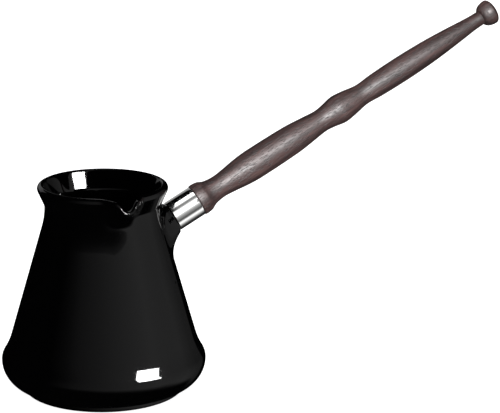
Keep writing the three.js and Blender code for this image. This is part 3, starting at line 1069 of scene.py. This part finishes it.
def card(name, place_at, glow, across=((0, 1), (1, 1)), upwards=((0, 1), (1, 1)), see_through=False):
    """A glowing card. across and upwards give the glow's share along u and v, as (place, share)
    pairs. A card that glows with 0 is a black flag."""
    n, u, v = card_nodes(name)
    share = n.maths("MULTIPLY", n.ramp(u, *across), n.ramp(v, *upwards))
    surface = n.add("ShaderNodeEmission", Strength=n.maths("MULTIPLY", share, glow)).outputs[0]
    if see_through:
        both = n.add("ShaderNodeAddShader")
        n.tree.links.new(surface, both.inputs[0])
        n.tree.links.new(n.add("ShaderNodeBsdfTransparent").outputs[0], both.inputs[1])
        surface = both.outputs[0]
    return card_object(name, place_at, n, surface)


def dark_screen(name, place_at, upwards):
    """A dark see-through card. upwards gives how much light it lets through along v."""
    n, _, v = card_nodes(name)
    surface = n.add("ShaderNodeBsdfTransparent", Color=n.ramp(v, *upwards)).outputs[0]
    return card_object(name, place_at, n, surface)


def sky_patch(low, high, distance):
    """place_at for a card in the sky. low and high are its two edges, as (azimuth, elevation) pairs."""
    start, end = low[0][0], low[-1][0]

    def place_at(u, v):
        azimuth = start + (end - start) * u
        bottom, top = stations_at(low, azimuth), stations_at(high, azimuth)
        return around(azimuth, bottom + (top - bottom) * v, distance)

    return place_at


def neck_band_place(u, v):
    """place_at for the band round the neck, which is upright and has the stations for its low edge."""
    azimuth = NECK_BAND_LOW[0][0] + (NECK_BAND_LOW[-1][0] - NECK_BAND_LOW[0][0]) * u
    bottom = stations_at(NECK_BAND_LOW, azimuth)
    a = radians(azimuth)
    height = (bottom + (NECK_BAND_TOP - bottom) * v) * MM
    return Vector((NECK_BAND_RADIUS * cos(a), NECK_BAND_RADIUS * sin(a), height))


def tent_place(u, v):
    """place_at for the tent round the handle's axis."""
    return around_axis(360 * u, TENT_START + TENT_LENGTH * v, TENT_RADIUS)


def world():
    """White behind the object for the camera, and a dark studio round it in reflections."""
    sky = bpy.data.worlds.new("studio")
    sky.use_nodes = True
    tree = sky.node_tree
    backdrop = tree.nodes["Background"]
    backdrop.inputs["Color"].default_value = WHITE
    backdrop.inputs["Strength"].default_value = 1.0
    dark = tree.nodes.new("ShaderNodeBackground")
    dark.inputs["Color"].default_value = WHITE
    dark.inputs["Strength"].default_value = STUDIO_DARKNESS
    path = tree.nodes.new("ShaderNodeLightPath")
    mix = tree.nodes.new("ShaderNodeMixShader")
    tree.links.new(path.outputs["Is Camera Ray"], mix.inputs[0])
    tree.links.new(dark.outputs[0], mix.inputs[1])
    tree.links.new(backdrop.outputs[0], mix.inputs[2])
    tree.links.new(mix.outputs[0], tree.nodes["World Output"].inputs["Surface"])
    bpy.context.scene.world = sky


def stage_floor():
    """A plain white floor that glows a little, so that shadows on it stay pale."""
    mesh = bmesh.new()
    bmesh.ops.create_grid(mesh, x_segments=1, y_segments=1, size=FLOOR_REACH)
    data = bpy.data.meshes.new("studio_floor")
    mesh.to_mesh(data)
    mesh.free()
    n = Nodes("studio_floor")
    n.shade(
        Base_Color=(0.9, 0.9, 0.9, 1),
        Roughness=0.9,
        Specular_IOR_Level=0.0,
        Emission_Color=WHITE,
        Emission_Strength=FLOOR_GLOW,
    )
    data.materials.append(n.material)
    obj = bpy.data.objects.new("studio_floor", data)
    obj.location.z = -FLOOR_DROP
    bpy.context.scene.collection.objects.link(obj)
    obj.visible_glossy = False
    return obj


# Area lights: the handle has an overhead light of its own.
POT_FOOT = (0, 0, 0)
OVERHEAD_PLACE = (0, 0, 2.2)
OVERHEAD_SIZE = (3.5, 3.5)
OVERHEAD_POWER = 60
WOOD_TOP_POWER = 22
FILL_PLACE = (-0.3, -2.2, 1.6)
FILL_TARGET = (0.1, 0, 0.1)
FILL_SIZE = (2.0, 2.0)
FILL_POWER = 12
WOOD_LIGHT_PLACE = around(-100, 24, 1.1)
WOOD_LIGHT_TARGET = (0.1, 0, 0.12)
WOOD_LIGHT_SIZE = (0.5, 0.5)
WOOD_LIGHT_POWER = 52

# The big side panel glows most in front of the pot's right half and dies away to the left.
SIDE_PANEL_LOW = ((-190, -30), (-130, -34), (-110, -38), (-60, -44), (-20, -44), (15, -40), (36, -50))
SIDE_PANEL_HIGH = ((-190, 75), (-30, 75), (-5, 32), (36, 25))
SIDE_PANEL_DISTANCE = 1.6
SIDE_PANEL_GLOW = 0.42
SIDE_PANEL_ACROSS = (
    (0.08, 0.0),
    (0.13, 0.06),
    (0.177, 0.135),
    (0.235, 0.27),
    (0.35, 0.45),
    (0.478, 0.7),
    (0.64, 1.0),
    (0.726, 0.83),
    (0.79, 0.7),
    (0.83, 0.61),
    (0.865, 0.43),
    (0.93, 0.21),
    (1.0, 0.1),
)
SIDE_PANEL_UPWARDS = ((0.0, 0.0), (0.06, 0.15), (0.16, 1.0))

# The softbox makes the white squares on the belly and inside the mouth.
SOFTBOX_LOW = ((-66, 22.5), (-38.5, 18.5))
SOFTBOX_HIGH = ((-66, 35), (-38.5, 30.5))
SOFTBOX_DISTANCE = 1.4
SOFTBOX_GLOW = 90

# Two dim cards behind the pot.
REAR_BOX_LOW = ((60, 40), (115, 40))
REAR_BOX_HIGH = ((60, 66), (115, 66))
REAR_BOX_DISTANCE = 1.5
REAR_BOX_GLOW = 1.6
REAR_PANEL_LOW = ((82, 4), (120, 4))
REAR_PANEL_HIGH = ((82, 40), (120, 40))
REAR_PANEL_DISTANCE = 1.6
REAR_PANEL_GLOW = 0.3

# Black flags over the mouth keep the panel out of the inside, but let the softbox in between them.
MOUTH_FLAG_DISTANCE = 0.06
LEFT_FLAG_LOW = ((-230, 30), (-54, 30))
LEFT_FLAG_HIGH = ((-230, 88), (-54, 88))
RIGHT_FLAG_LOW = ((-2, 30), (68, 30))
RIGHT_FLAG_HIGH = ((-2, 88), (68, 88))
# A smaller flag keeps the softbox off the boss.
BOSS_FLAG_LOW = ((-66, 14), (-31, 11))
BOSS_FLAG_HIGH = ((-66, 31), (-31, 27))
BOSS_FLAG_DISTANCE = 0.166

# A soft black band round the neck keeps the panel out of the dark zone under the rim. Its low edge
# is given as (azimuth, height in millimetres).
NECK_BAND_LOW = (
    (-230, 95.0),
    (-104, 95.0),
    (-94, 93.5),
    (-88, 95.0),
    (-82, 97.5),
    (-76, 100.5),
    (-70, 103.5),
    (-64, 106.5),
    (-58, 109.5),
    (-52, 112.5),
)
NECK_BAND_TOP = 113.0
NECK_BAND_RADIUS = 0.05
NECK_BAND_CLEARNESS = ((0.0, 1.0), (0.07, 0.55), (0.3, 0.22), (0.48, 0.05), (0.62, 0.0))

# The steel mirrors a tent of its own: the angle about the handle's axis, and the glow there.
TENT_START = -0.4
TENT_LENGTH = 1.2
TENT_RADIUS = 0.5
TENT = (
    (0, 0.09),
    (11, 0.022),
    (52, 0.03),
    (62, 0.6),
    (98, 0.6),
    (107, 0.45),
    (125, 0.32),
    (150, 0.18),
    (160, 0.2),
    (170, 0.85),
    (178, 3.0),
    (194, 3.0),
    (204, 0.93),
    (211, 0.23),
    (219, 0.26),
    (226, 0.55),
    (233, 1.3),
    (240, 3.0),
    (258, 3.0),
    (266, 1.3),
    (270, 0.9),
    (277, 0.55),
    (285, 0.38),
    (292, 0.28),
    (300, 0.13),
    (308, 0.08),
    (316, 0.65),
    (325, 1.6),
    (335, 1.1),
    (345, 0.55),
    (360, 0.09),
)
TENT_PEAK = max(glow for _, glow in TENT)

camera()
world()
studio_floor = stage_floor()
overhead = area_light("overhead", OVERHEAD_PLACE, POT_FOOT, OVERHEAD_SIZE, OVERHEAD_POWER)
light_only(overhead, studio_floor, *bare_pieces)
wood_top = area_light("wood_top", OVERHEAD_PLACE, POT_FOOT, OVERHEAD_SIZE, WOOD_TOP_POWER)
light_only(wood_top, handle_piece)
area_light("front_fill", FILL_PLACE, FILL_TARGET, FILL_SIZE, FILL_POWER)
wood_light = area_light(
    "wood_light",
    WOOD_LIGHT_PLACE,
    WOOD_LIGHT_TARGET,
    WOOD_LIGHT_SIZE,
    WOOD_LIGHT_POWER,
    seen_in_gloss=True,
)
light_only(wood_light, handle_piece)

side_panel = card(
    "side_panel",
    sky_patch(SIDE_PANEL_LOW, SIDE_PANEL_HIGH, SIDE_PANEL_DISTANCE),
    SIDE_PANEL_GLOW,
    SIDE_PANEL_ACROSS,
    SIDE_PANEL_UPWARDS,
)
softbox = card("softbox", sky_patch(SOFTBOX_LOW, SOFTBOX_HIGH, SOFTBOX_DISTANCE), SOFTBOX_GLOW)
rear_box = card("rear_box", sky_patch(REAR_BOX_LOW, REAR_BOX_HIGH, REAR_BOX_DISTANCE), REAR_BOX_GLOW)
rear_panel = card(
    "rear_panel", sky_patch(REAR_PANEL_LOW, REAR_PANEL_HIGH, REAR_PANEL_DISTANCE), REAR_PANEL_GLOW
)
for piece in (side_panel, softbox, rear_box, rear_panel):
    light_only(piece, pot_piece)
light_only(studio_floor, pot_piece, *metal_pieces)
card("left_flag", sky_patch(LEFT_FLAG_LOW, LEFT_FLAG_HIGH, MOUTH_FLAG_DISTANCE), 0)
card("boss_flag", sky_patch(BOSS_FLAG_LOW, BOSS_FLAG_HIGH, BOSS_FLAG_DISTANCE), 0)
dark_screen("neck_band", neck_band_place, NECK_BAND_CLEARNESS)
card("right_flag", sky_patch(RIGHT_FLAG_LOW, RIGHT_FLAG_HIGH, MOUTH_FLAG_DISTANCE), 0)
tent = card(
    "steel_tent",
    tent_place,
    TENT_PEAK,
    tuple((angle / 360, glow / TENT_PEAK) for angle, glow in TENT),
    see_through=True,
)
light_only(tent, *metal_pieces)
bpy.context.scene.view_settings.view_transform = "Standard"
